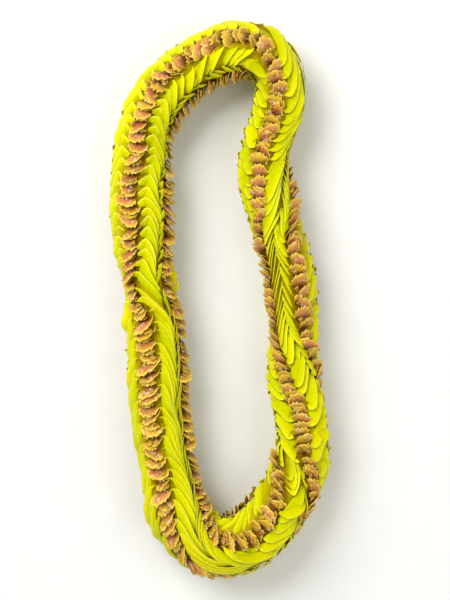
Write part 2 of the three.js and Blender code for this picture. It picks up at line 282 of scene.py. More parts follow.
# %% One object from many parts
def build(name, parts, material):
    """One smooth mesh object from parts, each a dict of points, quads, tris and values. The faces of
    each part count on from the points of the parts before it."""
    count = np.cumsum([0] + [len(p["points"]) for p in parts])
    quads = np.concatenate([p["quads"] + c for p, c in zip(parts, count)])
    tris = np.concatenate([p["tris"] + c for p, c in zip(parts, count)])
    points = np.concatenate([p["points"] for p in parts])
    corners = np.concatenate([quads.ravel(), tris.ravel()]).astype(np.int32)
    sizes = np.concatenate([np.full(len(quads), 4), np.full(len(tris), 3)])
    starts = np.concatenate([[0], np.cumsum(sizes)[:-1]]).astype(np.int32)
    mesh = bpy.data.meshes.new(name)
    mesh.vertices.add(len(points))
    mesh.vertices.foreach_set("co", points.ravel())
    mesh.loops.add(len(corners))
    mesh.loops.foreach_set("vertex_index", corners)
    mesh.polygons.add(len(sizes))
    mesh.polygons.foreach_set("loop_start", starts)
    mesh.update(calc_edges=True)
    mesh.shade_smooth()
    for key in parts[0]["values"]:
        numbers = np.concatenate([p["values"][key] for p in parts]).astype(np.float32)
        mesh.attributes.new(key, "FLOAT", "POINT").data.foreach_set("value", numbers)
    mesh.materials.append(material)
    obj = bpy.data.objects.new(name, mesh)
    bpy.context.scene.collection.objects.link(obj)
    return obj


def triangles_of(obj):
    """How many triangles an object's mesh has."""
    obj.data.calc_loop_triangles()
    return len(obj.data.loop_triangles)


print("build makes an object from parts, and triangles_of counts its triangles")

# %% [markdown]
# ## The claws' forms
# The petals of a real blossom grow together into a curled claw, and how a claw lies depends on how
# the rope was pulled and turned there. They are hooked on the left strand, long and straight at the
# lower left, broad as shells at the lower right, slim as fern on the right strand and broad again
# above. Each of these could be a model of its own, but then the change from one to the next would
# show. So one claw has seven measures, and tables say how they change along the rope.

# %% Tables of the claws' forms
# Distance along the rope in mm, then the claw's length along it, its hook, its width, how open it
# is, how far its tip curls back, how steeply its body drops, and how far every second claw sinks.
FORM = np.array([
    [0, 30, 3.2, 12.5, 0.25, 7.5, 0.2, 1.0], [95, 30, 3.2, 12.5, 0.25, 7.5, 0.2, 1.0],
    [130, 32, 2.0, 8.0, 0.6, 6, 0.24, 0.4], [165, 46, 3.0, 7.2, 0.85, 2.5, 0.24, 0.2],
    [290, 48, 3.0, 7.4, 0.8, 2.5, 0.24, 0.2], [325, 44, 2.1, 8.0, 0.5, 1, 0.18, 0],
    [385, 38, 1.7, 9.0, 0.3, 0.5, 0.13, 0.3], [425, 26, 1.8, 11.0, 0.15, 3, 0.11, 0.5],
    [590, 26, 1.8, 12.0, 0.1, 4, 0.11, 0.6], [720, 26, 1.8, 12.0, 0.1, 4, 0.13, 0.6],
    [750, 34, 1.9, 11.0, 0.2, 3, 0.14, 0.4], [830, 40, 2.0, 10.0, 0.3, 2, 0.13, 0.3],
    [890, 28, 1.8, 11.0, 0.2, 5, 0.16, 0.6], [975, 28, 2.7, 11.0, 0.25, 7, 0.20, 0.8]], float)
# Rows whose claws differ from the others at a place: the place and how far that spreads in mm, the
# row, then the claw's form as above.
PATCHES = [
    [484, 20, 3, 26, 2.4, 6.5, 0.85, 7, 0.34, 0.4],
    [543, 30, 3, 24, 1.7, 14.0, 0.10, 6, 0.12, 1.6],
    [652, 46, 0, 30, 1.6, 2.6, 0.80, 2, 0.36, 0.3],
    [722, 16, 0, 44, 2.2, 13.0, 0.05, 2, 0.10, 0.3],
    [790, 42, 0, 54, 3.2, 7.5, 0.50, 1, 0.16, 0],
    [790, 46, 3, 24, 1.6, 14.0, 0.10, 6, 0.13, 1.8],
    [925, 50, 3, 18, 1.4, 9.0, 0.85, 1, 0.24, 1.4]]
# Claws that stand out over their neighbours: place in mm, row, side, and how much further they
# reach sideways in degrees.
LOBES = [
    [838, 0, 1, 34], [852, 0, 1, 22], [136, 0, -1, 16], [128, 3, 1, 14], [466, 3, -1, 10],
    [374, 0, -1, 10], [384, 0, -1, 14], [394, 0, -1, 16], [404, 0, -1, 14], [414, 0, -1, 10]]
print("forms in the tables:", len(FORM) + len(PATCHES), "and", len(LOBES), "lobes")

# %% Tables of leaning, disorder and calyxes
# How far each row's spine leans from the row's middle, in degrees, at places along the rope.
LEAN = np.array([
    [0, 22, 0, 0, -17], [320, 22, 0, 0, -17], [360, 22, 0, -22, -16], [425, 22, 0, -22, 14],
    [490, 22, 0, -12, 14], [515, 22, 0, 0, -14], [560, 20, 10, 0, -14], [610, 4, 20, 0, 0],
    [700, 2, 20, 0, -8], [760, 20, 0, 0, -20], [900, 22, 0, 0, -20], [930, 22, 0, 0, -17]], float)
# Places where the claws lie in disorder, and how far that spreads, all in mm.
DISORDER = np.array([[143, 14], [463, 10], [838, 10], [874, 11], [548, 8]], float)
# Distance along the rope in mm, then how ruffled the calyx cups are, how wide, how far they flare,
# how many degrees their rows lie aside and how pale they are.
CALYX = np.array([
    [0, 0.8, 1.1, 1.0, 0, -0.1], [150, 0.8, 1.2, 1.0, 0, -0.3], [200, 0.3, 1.38, 0.8, -5, -1.0],
    [270, 0.3, 1.34, 0.8, -5, -0.9], [330, 0.3, 1.28, 0.8, -4, -0.3], [365, 0.3, 1.15, 0.1, -8, 0],
    [395, 0.3, 1.1, 0.1, -14, 0], [425, 0.3, 1.1, 0.1, -6, 0.1], [470, 0.4, 1.1, 0.1, 0, 0.1],
    [530, 0.4, 1.05, 0.0, 0, 0.2], [570, 0.5, 1.05, 0.4, 0, 0.4], [600, 0.9, 1.12, 1.0, 0, 0.7],
    [720, 0.8, 1.12, 1.0, 0, 0.8], [760, 0.4, 1.18, 0.6, 0, 1.0], [860, 0.5, 1.12, 0.5, 0, 1.2],
    [895, 0.8, 1.05, 0.6, -8, 1.1], [945, 1.0, 1.02, 0.8, -9, 0.6], [985, 1.0, 1.1, 1.0, -2, 0.1]], float)
print("the calyxes change at", len(CALYX), "places")


# %% Reading the tables
def disorder_at(s):
    """1 where the claws lie in order, and 2 e^-(away/spread)^2 more where they don't."""
    away = (s[..., None] - DISORDER[:, 0] + LENGTH / 2) % LENGTH - LENGTH / 2
    return 1 + 2 * np.exp(-(away / DISORDER[:, 1])**2).sum(-1)


def lean_at(j, s):
    """The lean of row j's spine at s, with a slow sway of 2.5 degrees, sixteen times round."""
    every = np.stack([listed(LEAN, k, s) for k in range(1, ROWS + 1)])
    sway = 2.5 * np.sin(16 * 2 * np.pi * s / LENGTH + 2 * j)
    return np.take_along_axis(every, j[None], 0)[0] + sway


def aside_at(s):
    """How many degrees the calyx rows lie aside at s, read from CALYX."""
    return listed(CALYX, 4, s)


def calyx_half(s):
    """Half the angle of a calyx row, in degrees: 19, and 5 e^-((s-128)/20)^2 less, because near 128
    mm the petals beside it bulge over."""
    return 19.0 - 5 * np.exp(-((s % LENGTH - 128) / 20)**2)


def form_at(s, j):
    """The claws' form at s in row j: FORM repeats after the rope's whole length, and each patch
    takes the share that its hump gives it of its own row."""
    form = [listed(FORM, k, s) for k in range(1, FORM.shape[1])]
    for middle, spread, row, *other in PATCHES:
        share = (j == row) * hump(s, middle, spread)
        form = [old * (1 - share) + new * share for old, new in zip(form, other)]
    return form


print("claw length at the fern:", round(float(form_at(np.array(652.0), np.array(0))[0])), "mm")

# %% [markdown]
# ## Claws
# Each blossom gives a claw to either side of a petal row. Its raised rim leaves the row's spine far
# along the rope, runs back beside it and hooks outward to a tip at the calyx row. The body of the
# claw slopes down from the rim and passes under the rim of the next one.
#
# Sculpting would give one good claw. A formula gives all 880, each a little different: its rim is a
# path over t from spine to tip, and the body hangs behind the path, square to it.

# %% The claw's rim
CLAW_RING, CLAW_STEPS = 10, 18
PAST_SPINE = 0.12  # the share of its reach by which a rim starts past the spine
TIP_BACK = 5.0  # how far a tip lies behind its blossom, in mm
FULL_REACH = 12.0  # the reach that makes a claw of full size, in mm
LOBE_WIDE = 5.0  # how far along the rope a lobe spreads, in mm


def claw_rim(t, at, j, side, r):
    """The rim's way sideways, b = B (1.12 t - 0.12), and along the rope, a = L (1-t)^q - 5, with its
    last part curled back by a ramp. Also B, the reach from the spine to the calyx row, and the
    share by which a short reach makes a smaller claw."""
    long, hook, _, _, curl, _, _ = form_at(at, j)
    degrees = 45 - calyx_half(at) - side * (lean_at(j, at) - aside_at(at))
    for middle, row, hand, more in LOBES:
        chosen = (j == row) * (side == hand)
        degrees = degrees + more * chosen * np.exp(-((at - middle) / LOBE_WIDE)**2)
    broad = radius_at(at) * np.radians(degrees) * (1.05 + 0.09 * r[0])
    room = np.clip(broad / FULL_REACH, 0.35, 1.3)**0.8
    bend = hook * (1 + 0.10 * r[1])
    a = -TIP_BACK + 1.8 * r[2] + long * room * (1 + 0.15 * r[3]) * (1 - t)**bend
    a = a + curl * (1 + 0.25 * r[4]) * ramp(t, 0.68 - 0.016 * curl, 1.08)
    return broad * ((1 + PAST_SPINE) * t - PAST_SPINE), a, broad, room


print("claws per blossom: 2, of", CLAW_STEPS * CLAW_RING * 2 - 4, "triangles")

# %% The claw's body
# All in mm.
PETAL_HALF = 0.32  # half a petal's thickness
RIM_DEEP, ARCH, LIP = 0.8, 0.7, 0.5  # how deep a rim lies, how far it arches, how high its lip stands
ROOT_DIP, TIP_DIP = 2.2, 0.7  # how far a root and a tip dip
KNUCKLE = 1.6  # how far a knuckle swells
SIDE_LOW = 2.4  # how far the claws on the rope's sides are lowered
DRAWN_IN = 1.8  # how far rows 1 and 2, which lie underneath, are drawn in


def claw_width(t, room, wide, opened, r):
    """w, the claw's width at t: it grows from 0.55 of its full width at the spine and closes toward
    the tip, the sooner the more open the claw is."""
    w = wide * np.minimum(room, 1) * (1 + 0.12 * r[4]) * (0.55 + 0.45 * ramp(t, 0, 0.35))
    w = w * (1 - opened * ramp(t, 0.42, 0.92))
    return w * (1 - (0.45 + 0.4 * opened) * ramp(t, 0.8, 1.02))


def claws(i, j, side, r):
    """c runs from the rim to the trailing edge, a distance d = w (1-c)/2 square behind the rim and
    drop d (1 + d/width) deeper. rho = R - 0.8 + 0.7 sin(pi t), with a raised lip, dips at root and
    tip, and less with (b/B)^2. On the rope's sides the claws lie lower, and a knuckle swells every
    second rim near t = 0.2. A lens gives the thickness, and rings are closer toward the tip."""
    i, j, r = fill_axes(i, j, r)
    c, lens = ring_of(CLAW_RING)
    t = (1 - (1 - np.linspace(0, 1, CLAW_STEPS))**1.4)[None, :, None]
    at = i * PITCH
    second = np.round(i) % 2
    r = r * disorder_at(at)
    _, _, wide, opened, _, drop, sink = form_at(at, j)
    b, a, broad, room = claw_rim(t, at, j, side, r)
    ahead_b, ahead_a = np.gradient(b, axis=1), np.gradient(a, axis=1)
    size = np.hypot(ahead_b, ahead_a)
    d = claw_width(t, room, wide, opened, r) * (1 - c) / 2
    b, a = b - ahead_a / size * d, a + ahead_b / size * d
    lean = lean_at(j, at)
    steep = np.sin(angle_at(at, j) + np.radians(45 + lean))**4
    swell = KNUCKLE + 1.8 * second + r[0]
    knuckle = swell * np.exp(-((t - 0.2) / 0.10)**2) * (1 - 0.5 * d / wide)
    lip = LIP * ramp(c, 0.5, 1.0) * (1 - ramp(t, 0.9, 1.0))
    rho = radius_at(at + a) - RIM_DEEP + 0.8 * r[5] + ARCH * np.sin(np.pi * t) + lip
    rho = rho - 0.6 * (b / np.maximum(broad, 8))**2 + (knuckle - SIDE_LOW) * steep
    rho = rho - ROOT_DIP * (1 - ramp(t, 0, 0.18)) - (TIP_DIP + 0.8 * r[3]) * ramp(t, 0.8, 1.0)
    rho = rho - (drop + 0.04 * r[1]) * d * (1 + d / wide) + PETAL_HALF * lens
    rho = rho - DRAWN_IN * (np.abs(j - 1.5) < 1) - sink * second
    turn = 45 + 90 * j + lean + side * np.degrees(b / radius_at(at))
    quads, tris = tube_faces(len(b), CLAW_STEPS, CLAW_RING, flip=side > 0)
    values = {"along": t, "across": c, "tone": (r[2] + r[5]) / 2, "behind": d / 8}
    return part(place(at + a, rho, turn), quads, tris, values)


one = claws(np.zeros(1), np.zeros(1, int), 1, np.zeros((1, 6)))["points"]
print("one claw measures", np.ptp(one, axis=0).round(4), "m")

# %% [markdown]
# ## Calyx cups
# Behind its petals each blossom has a calyx, a small furry bell. Only its outer half shows, as one
# scale of a row: it starts deep, rises along the rope and opens into a ruffled rim over the root of
# the next. Half of a turned bell would look stiff and alike everywhere, so the cup is a sheet whose
# width, dome, folds and flare are added up from simple terms, each with a random share. Where the
# petals bulge over a calyx row, at the rope's sides, the cups lie lower and don't flare.

# %% Where the cups lie low
def under_at(s, angle):
    """How far the petals bulge over a calyx row: humps along the rope times sin(angle)^4, which
    picks its sides. The humps are at the lower right (540 mm) and the upper right (812) and, on the
    ring's outside alone, at the bottom bend (412) and from the top to the upper left (20)."""
    outside = np.sin(angle) > 0
    away = (s - 20 + LENGTH / 2) % LENGTH - LENGTH / 2
    covered = hump(s, 540, 36) + 0.8 * hump(s, 812, 50)
    covered = covered + outside * (0.8 * hump(s, 412, 36) + 0.9 * np.exp(-(away / 125)**4))
    return covered * np.sin(angle)**4


print("a row on the outside is covered", under_at(np.array([200.0, 412.0, 540.0]), np.pi / 2).round(2))

# %% The cup's formula
CUP_RING, CUP_STEPS = 36, 11
CUP_HALF = 0.3  # half a cup's thickness, in mm
ROOT_BACK = 3.2  # how far its root lies behind its blossom, in mm
CUP_ARCH = 9.5  # how far its sides lag behind its middle, in mm
RIM_UNDER, ROOT_DEEP = 0.6, 5.2  # how deep its rim lies, and how much deeper its root, in mm
DOME = 5.5  # how high its dome is, in mm
LOWERED = 3.5  # how far a cup under the petals is lowered, in mm
STAGGER = 2.4  # how far every other cup lies to one side, in degrees


def cups(i, j, r, gold):
    """A sheet over v from root to rim and c across. Half its angle goes as 0.35 + 0.65 v^0.5, its
    place along the rope as a = -3.2 + (PITCH + 1.4) v less a half ellipse that rounds the rim, and
    rho = R - 0.6 - 5.2 (1-v)^p - dome |c|^2.6. Folds cos(5 pi c) grow into a ruffle along its last
    part e, finer waves cos(9 pi c) and cos(6 pi c) fray it, and it flares outward there, most on the
    rope's sides. Pink cups are longer than golden ones. Rings are closer toward the rim."""
    i, j, r = fill_axes(i, j, r)
    gold = gold[:, None, None]
    c, lens = ring_of(CUP_RING)
    v = (1 - (1 - np.linspace(0, 1, CUP_STEPS))**1.5)[None, :, None]
    at = i * PITCH
    pink = 1 - gold
    every_other = 1 - 2.0 * ((i + j) % 2)
    ruffle, wide, spread = (listed(CALYX, k, at) for k in (1, 2, 3))
    e = ramp(v, 0.55, 1.0)
    folds = ruffle * np.cos(5 * np.pi * c * (1 + 0.12 * r[0]) + 3 * r[1])
    frayed = np.cos(9 * np.pi * c + 3 * r[2])
    frayed = frayed + np.cos(6 * np.pi * c * (1 + 0.2 * r[3]) + 3 * r[4])
    dome = (DOME + 1.2 * r[2] + pink) * (1 - (0.8 - 0.35 * c**4) * e)
    angle = angle_at(at, j)
    under = under_at(at, angle)
    hidden = (j == 1) * np.exp(-((at % LENGTH - 845) / 45)**2) + under
    out = ramp(np.cos(angle), -0.5, 0.0) * (1 - hidden)
    half = calyx_half(at) * (0.92 * wide + 0.15 * r[3] + 0.06 * gold) * (0.35 + 0.65 * v**0.5)
    turn = half * c + 3.4 * r[5] + STAGGER * every_other + aside_at(at)
    a = -ROOT_BACK - 1.6 * pink + 1.4 * r[1] + (PITCH + 1.4 + 1.4 * r[2] + 2.6 * pink) * v
    a = a - CUP_ARCH * (1 - np.sqrt(1 - 0.97 * c**2)) * v + (0.9 * folds + 0.6 * frayed) * e
    a = a + (0.34 * r[6] - 0.06 * every_other) * turn * v
    frilled = (0.5 + 0.5 * folds) * (1 - 0.6 * c**4)
    flare = 0.5 + 0.7 * r[5] + (0.6 + 1.4 * np.abs(np.sin(angle))) * frilled
    rho = radius_at(at + a) - RIM_UNDER + 1.1 * r[4] + 0.6 * pink
    rho = rho - ROOT_DEEP * (1 - v)**(1.3 + 0.6 * pink) - dome * np.abs(c)**2.6
    rho = rho + (0.25 * v + 0.35 * e) * folds + 0.4 * e * frayed * out + spread * flare * e * out
    rho = rho - 1.2 * (1 - out) * v - LOWERED * under + (1.2 * r[6] + 1.3 * r[1] * c) * (v - 0.4)
    quads, tris = tube_faces(len(at), CUP_STEPS, CUP_RING, flip=True)
    values = {"along": v, "across": c, "tone": r[4] + listed(CALYX, 5, at), "kind": gold}
    return part(place(at + a, rho + CUP_HALF * lens, 90 * j + turn), quads, tris, values)


print("cups per blossom: 1, of", CUP_STEPS * CUP_RING * 2 - 4, "triangles")

# %% [markdown]
# ## Ruffs and frills
# A real calyx has more than one layer: thin golden tissue is crumpled inside its mouth and peeps
# out between one cup and the next. Cloth simulation could crumple it, but would take long for so
# little. Here a folded band, the ruff, stands out of every mouth, and two small lobes, the frills,
# lean out of it to either side. Both start at the mouth's depth, so their roots don't show.

# %% The ruff's formula
RUFF_RING, FRILL_RING, FEW_STEPS = 28, 12, 6
# All in mm.
MOUTH_DEEP = 3.4  # how deep the mouths lie
RUFF_AT, FRILL_AT = 3.4, 1.8  # how far along the rope a ruff and a frill start
RUFF_HALF, FRILL_HALF = 0.25, 0.22  # half their thickness
RUFF_LOWERED, FRILL_LOWERED = 6.0, 6.5  # how far those under the petals are lowered


def ruffs(i, j, r):
    """A band over v and c: it rises from R - 3.4 to about R - 0.8, and is folded as cos(4 pi c),
    more and more toward its rim."""
    i, j, r = fill_axes(i, j, r)
    c, lens = ring_of(RUFF_RING)
    v = np.linspace(0, 1, FEW_STEPS)[None, :, None]
    at = (i + 0.12 * r[0]) * PITCH
    folds = np.cos(4 * np.pi * c + 3 * r[1])
    half = calyx_half(at) * (0.85 + 0.16 * r[2]) * (0.7 + 0.3 * v)
    turn = half * c + 3 * r[3] + aside_at(at)
    a = RUFF_AT + (4.8 + 2.4 * r[4]) * v - 3 * c**2 * v + 0.9 * folds * v
    rho = radius_at(at + a) - MOUTH_DEEP + (2.6 + 0.7 * r[0]) * v - 1.4 * np.abs(c)**2.3
    rho = rho + 0.7 * folds * v - RUFF_LOWERED * under_at(at, angle_at(at, j)) + RUFF_HALF * lens
    quads, tris = tube_faces(len(at), FEW_STEPS, RUFF_RING, flip=True)
    values = {"along": 0.45 + 0.55 * v, "across": c, "tone": r[4], "kind": 1.0}
    return part(place(at + a, rho, 90 * j + turn), quads, tris, values)


print("ruffs per blossom: 1, of", FEW_STEPS * RUFF_RING * 2 - 4, "triangles")


# %% The frill's formula
def frills(i, j, side, r):
    """A lobe over t: from R - 3.4 it rises by about 4 t^0.8 while it leans sideways and along the
    rope, and it reaches h c to either side of that path, with h growing as the root of t."""
    i, j, r = fill_axes(i, j, r)
    c, lens = ring_of(FRILL_RING)
    t = np.linspace(0, 1, FEW_STEPS)[None, :, None]
    at = (i + 0.25 * r[0]) * PITCH
    over, along = side * (2.6 + 1.8 * r[2]), 4.4 + 1.8 * r[3]
    size = np.hypot(over, along)
    h = (2.5 + 0.6 * r[4]) * (0.5 + 0.5 * np.sqrt(t))
    b = side * (2.0 + 1.6 * r[1]) + over * t - along / size * h * c
    a = FRILL_AT + along * t + over / size * h * c
    rho = radius_at(at + a) - MOUTH_DEEP + (4.0 + 1.3 * r[5]) * t**0.8 - 1.0 * c**2
    rho = rho + 0.5 * np.cos(3 * np.pi * c + 3 * r[6]) * t
    rho = rho - FRILL_LOWERED * under_at(at, angle_at(at, j))
    turn = 90 * j + np.degrees(b / radius_at(at)) + aside_at(at)
    quads, tris = tube_faces(len(at), FEW_STEPS, FRILL_RING)
    kind = np.round(0.6 + 0.5 * r[4])  # six in ten are golden
    values = {"along": 0.4 + 0.6 * t, "across": c * 0.8, "tone": r[6], "kind": kind}
    return part(place(at + a, rho + FRILL_HALF * lens, turn), quads, tris, values)


print("frills per blossom: 2, of", FEW_STEPS * FRILL_RING * 2 - 4, "triangles")

# %% [markdown]
# ## The core
# Deep inside, the blossoms' throats crowd into a dark mass round the thread. It shows only in the
# gaps between claws, so no throat needs a shape of its own: a tube that ripples once for each row
# fills the rope, green under the petals and brown under the calyxes.

# %% The core's formula
CORE_RINGS, CORE_RING = 21, 32
# All in mm.
CORE_DEEP, CORE_RIPPLE = 5.2, 0.8  # how deep it lies under the rope's radius, and how far it ripples
BORE = 1.6  # the radius of its bore
CORE_BACK = 3.5  # how far behind its first blossom it starts


def core(first, last):
    """A closed tube from blossom first to last: its outer wall is at rho = R - 5.2 - 0.8 cos(4 a),
    and its bore at 1.6 mm leaves room for the thread."""
    s = np.linspace(first, last, CORE_RINGS) * PITCH - CORE_BACK
    around = np.linspace(0, 360, CORE_RING, endpoint=False)[None]
    ripple = np.cos(np.radians(4 * around))
    outer = place(s[:, None], radius_at(s)[:, None] - CORE_DEEP - CORE_RIPPLE * ripple, around)
    inner = place(s[::-1, None], BORE, around)
    grid = np.concatenate([outer, inner])
    n, m = grid.shape[:2]
    k, p = np.meshgrid(np.arange(n), np.arange(m), indexing="ij")
    k2, p2 = (k + 1) % n, (p + 1) % m
    quads = np.stack([k*m + p, k*m + p2, k2*m + p2, k2*m + p], -1).reshape(-1, 4)
    values = {"along": 0.5 - 0.5 * ripple, "across": 0.0, "tone": -2.0, "behind": 0.0}
    return part(grid, quads, np.zeros((0, 3), int), values)


print("core radius", round(radius_at(0.0) - CORE_DEEP, 1), "mm")

# %% [markdown]
# ## Helpers for materials
# Every finish here is drawn from noise and from the numbers on the mesh, because the colours have
# to follow each petal and each calyx, and an image would have to be unwrapped onto thousands of
# them. Colours are given as they look on screen and turned to linear light. A node is added in one
# call that sets its values and links its inputs.

# %% Nodes in one call
def colour(r, g, b):
    """A colour of 0 to 255 as seen on screen, in linear light: ((v + 0.055) / 1.055)^2.4, or v / 12.92
    where it is very dark."""
    v = np.array([r, g, b]) / 255
    return (*np.where(v <= 0.04045, v / 12.92, ((v + 0.055) / 1.055)**2.4).tolist(), 1.0)


def fill_input(tree, socket, value):
    """Links a socket to another one, or gives it a value."""
    if isinstance(value, bpy.types.NodeSocket):
        tree.links.new(value, socket)
    else:
        socket.default_value = value


def add(tree, kind, inputs=None, **settings):
    """A node with settings, and inputs given as values or as sockets to link from."""
    new = tree.nodes.new("ShaderNode" + kind)
    for key, value in settings.items():
        setattr(new, key, value)
    for key, value in (inputs or {}).items():
        fill_input(tree, new.inputs[key], value)
    return new


print("screen colour 248 244 0 is", np.round(colour(248, 244, 0), 3), "in linear light")


# %% Sums, fades and layers
def reckon(tree, operation, *values):
    """One sum, product or the like of numbers and sockets."""
    return add(tree, "Math", dict(enumerate(values)), operation=operation).outputs[0]


def fade(tree, value, low, high, to_low=0.0, to_high=1.0):
    """A value carried from low..high to to_low..to_high and held at both ends."""
    return add(tree, "MapRange", {0: value, 1: low, 2: high, 3: to_low, 4: to_high}).outputs[0]


def blend(tree, factor, a, b):
    """Colour a where factor is 0, and b where it is 1."""
    return add(tree, "Mix", {0: factor, 6: a, 7: b}, data_type="RGBA").outputs[2]


def layered(tree, body, layers):
    """Colours laid over a first one. Each layer is a mask, the values between which it changes, its
    strength at the first and at the second, and its colour."""
    for mask, low, high, at_low, at_high, tint in layers:
        body = blend(tree, fade(tree, mask, low, high, at_low, at_high), body, tint)
    return body


print("a layer takes a mask, two values of it, two strengths and a colour")


# %% Mesh numbers and materials
def number_on_mesh(tree, name):
    """One of the numbers that the mesh carries on its points."""
    return add(tree, "Attribute", attribute_name=name).outputs["Fac"]


def material(name):
    """A new material, its node tree and its Principled shader."""
    new = bpy.data.materials.new(name)
    new.use_nodes = True
    return new, new.node_tree, new.node_tree.nodes["Principled BSDF"]


print("materials before this scene's own:", len(bpy.data.materials))

# %% [markdown]
# ## Two effects that materials share
# Living tissue is never one colour: it is mottled, and it is furrowed lengthwise by veins or ribs.
# The same nodes could be built again in each material, but a node group is built once, and every
# material that places it gives it its own values. Mottle is noise in Object coordinates, which are
# metres here because every object sits at the origin. Furrows are waves across the sheet, so they
# read the mesh's own numbers and follow each petal's and each calyx's bend.

# %% Mottle and furrows
def new_group(name, inputs):
    """An empty node group with named number inputs and one output, the mask."""
    tree = bpy.data.node_groups.new(name, "ShaderNodeTree")
    for key, value in inputs.items():
        socket = tree.interface.new_socket(key, in_out="INPUT", socket_type="NodeSocketFloat")
        socket.default_value = value
    tree.interface.new_socket("Mask", in_out="OUTPUT", socket_type="NodeSocketFloat")
    return tree, tree.nodes.new("NodeGroupInput").outputs, tree.nodes.new("NodeGroupOutput").inputs


mottle_group, given, result = new_group("mottle", {"Scale": 160.0, "Detail": 3.0})
where = add(mottle_group, "TexCoord").outputs["Object"]
cloud = add(mottle_group, "TexNoise", {
    "Vector": where, "Scale": given["Scale"], "Detail": given["Detail"]})
mottle_group.links.new(cloud.outputs["Fac"], result["Mask"])

furrow_group, given, result = new_group("furrows", {
    "Across": 0.0, "Tone": 0.0, "Along": 0.0, "Drift": 0.3, "Scale": 2.2, "Distortion": 2.0, "Detail": 1.0})
drift = reckon(furrow_group, "MULTIPLY", given["Along"], given["Drift"])
where = add(furrow_group, "CombineXYZ", {0: given["Across"], 1: given["Tone"], 2: drift}).outputs[0]
wave = add(furrow_group, "TexWave", {
    "Vector": where, "Scale": given["Scale"], "Distortion": given["Distortion"], "Detail": given["Detail"]})
furrow_group.links.new(wave.outputs["Fac"], result["Mask"])


def mottle(tree, scale, detail=3.0):
    """The mottle group placed in a material."""
    return add(tree, "Group", {"Scale": scale, "Detail": detail}, node_tree=mottle_group).outputs["Mask"]


def furrows(tree, across, tone, along, **values):
    """The furrows group placed in a material."""
    inputs = {"Across": across, "Tone": tone, "Along": along, **values}
    return add(tree, "Group", inputs, node_tree=furrow_group).outputs["Mask"]


print("node groups:", [g.name for g in bpy.data.node_groups])

# %% [markdown]
# ## Petal wax
# The petals are waxy lime yellow. Their rims are thin, and the light they catch is a painted highlight,
# a pale line along each rim. Their bodies turn greener and deeper toward the trailing edge, a painted
# shade where the next claw's rim lies over them. A plain yellow would look like plastic: here several
# soft layers of colour lie over one another, each led by one mask, and some light goes into the skin,
# as it does in a thin petal. The core carries a tone of -2, which picks its own colours.

# %% The petals' colours
petal, tree, shader = material("petal wax")
along, across, tone, behind = (number_on_mesh(tree, k) for k in ("along", "across", "tone", "behind"))
cloudy = mottle(tree, 160.0)
veins = furrows(tree, across, tone, along, Drift=0.3, Scale=2.2, Distortion=2.0, Detail=1.0)
# painted shade: the body turns deeper behind its rim, where the next claw's rim lies over it
lime = blend(tree, fade(tree, behind, 0.04, 0.8), colour(248, 244, 0), colour(204, 202, 0))
throat = blend(tree, along, colour(120, 76, 0), colour(190, 176, 0))
body = layered(tree, lime, [
    (cloudy, 0.35, 0.75, 0.0, 0.45, colour(214, 222, 0)),  # greener clouds
    (tone, -0.8, 0.0, 0.7, 0.0, colour(196, 208, 0)),  # young, green claws
    (tone, 0.0, 0.8, 0.0, 0.5, colour(252, 234, 0)),  # ripe, golden claws
    (veins, 0.3, 1.0, 0.0, 0.5, colour(184, 188, 0)),  # darker veins
    (across, 0.7, 0.95, 0.0, 0.8, colour(255, 255, 84)),  # painted highlight along the rims
    (tone, -1.9, -1.5, 1.0, 0.0, throat)])  # the core
print("petal colour layers:", sum(node.bl_idname == "ShaderNodeMix" for node in tree.nodes))

# %% The petals' skin
relief = add(tree, "Bump", {"Height": veins, "Strength": 0.5, "Distance": 0.0004})
tree.links.new(body, shader.inputs["Base Color"])
tree.links.new(fade(tree, cloudy, 0.3, 0.8, 0.42, 0.6), shader.inputs["Roughness"])
tree.links.new(relief.outputs[0], shader.inputs["Normal"])
shader.inputs["Specular IOR Level"].default_value = 0.14
shader.inputs["Specular Tint"].default_value = colour(255, 255, 90)
shader.inputs["Subsurface Weight"].default_value = 0.3
shader.inputs["Subsurface Radius"].default_value = (0.002, 0.002, 0.0002)
shader.inputs["Subsurface Scale"].default_value = 1.0
print("petal wax:", len(tree.nodes), "nodes")

# %% [markdown]
# ## Calyx fur
# A calyx is dusty pink at its heart, golden along its sides and rim, and brown in its throat, with
# painted shade that darkens it more where it lies deep under the cup before. Its ribs and fine
# hairs break all of this up. Real hairs would be millions of strands, so the fur is painted: ribs and
# noise mix the colours, a fine noise roughens the surface, small glints are painted highlights, and a
# little sheen and coat stand in for the light that hairs catch. Each calyx carries a kind, pink or
# golden, and a tone that follows the rope, since the right strand is paler than the left.

# %% The calyxes' hearts and rims
fur, tree, shader = material("calyx fur")
along, across, tone, kind = (number_on_mesh(tree, k) for k in ("along", "across", "tone", "kind"))
ribs = furrows(tree, across, tone, along, Drift=0.2, Scale=3.4, Distortion=4.0, Detail=2.0)
fuzz = mottle(tree, 900.0, 4.0)
side = reckon(tree, "MULTIPLY", across, across)
gilt = reckon(tree, "MAXIMUM", kind, fade(tree, side, 0.3, 0.75))
heart = blend(tree, gilt, colour(232, 96, 86), colour(252, 196, 0))
light = blend(tree, gilt, colour(255, 142, 124), colour(255, 212, 20))
body = layered(tree, heart, [
    (tone, -0.9, -0.1, 0.7, 0.0, colour(206, 106, 32)),  # dry, rusty cups
    (tone, 0.2, 0.9, 0.0, 0.6, colour(255, 200, 90)),  # fresh, sandy cups
    (mottle(tree, 150.0, 2.0), 0.48, 0.7, 0.0, 0.5, colour(244, 166, 4)),  # golden blotches
    (mottle(tree, 240.0, 2.0), 0.54, 0.68, 0.0, 0.7, colour(255, 176, 140)),  # pink patches
    (tone, -1.4, 0.2, 0.6, 0.0, colour(120, 48, 12)),  # the dark left strand
    (tone, 0.1, 1.6, 0.0, 0.65, light)])  # the pale right strand
print("calyx nodes so far:", len(tree.nodes))
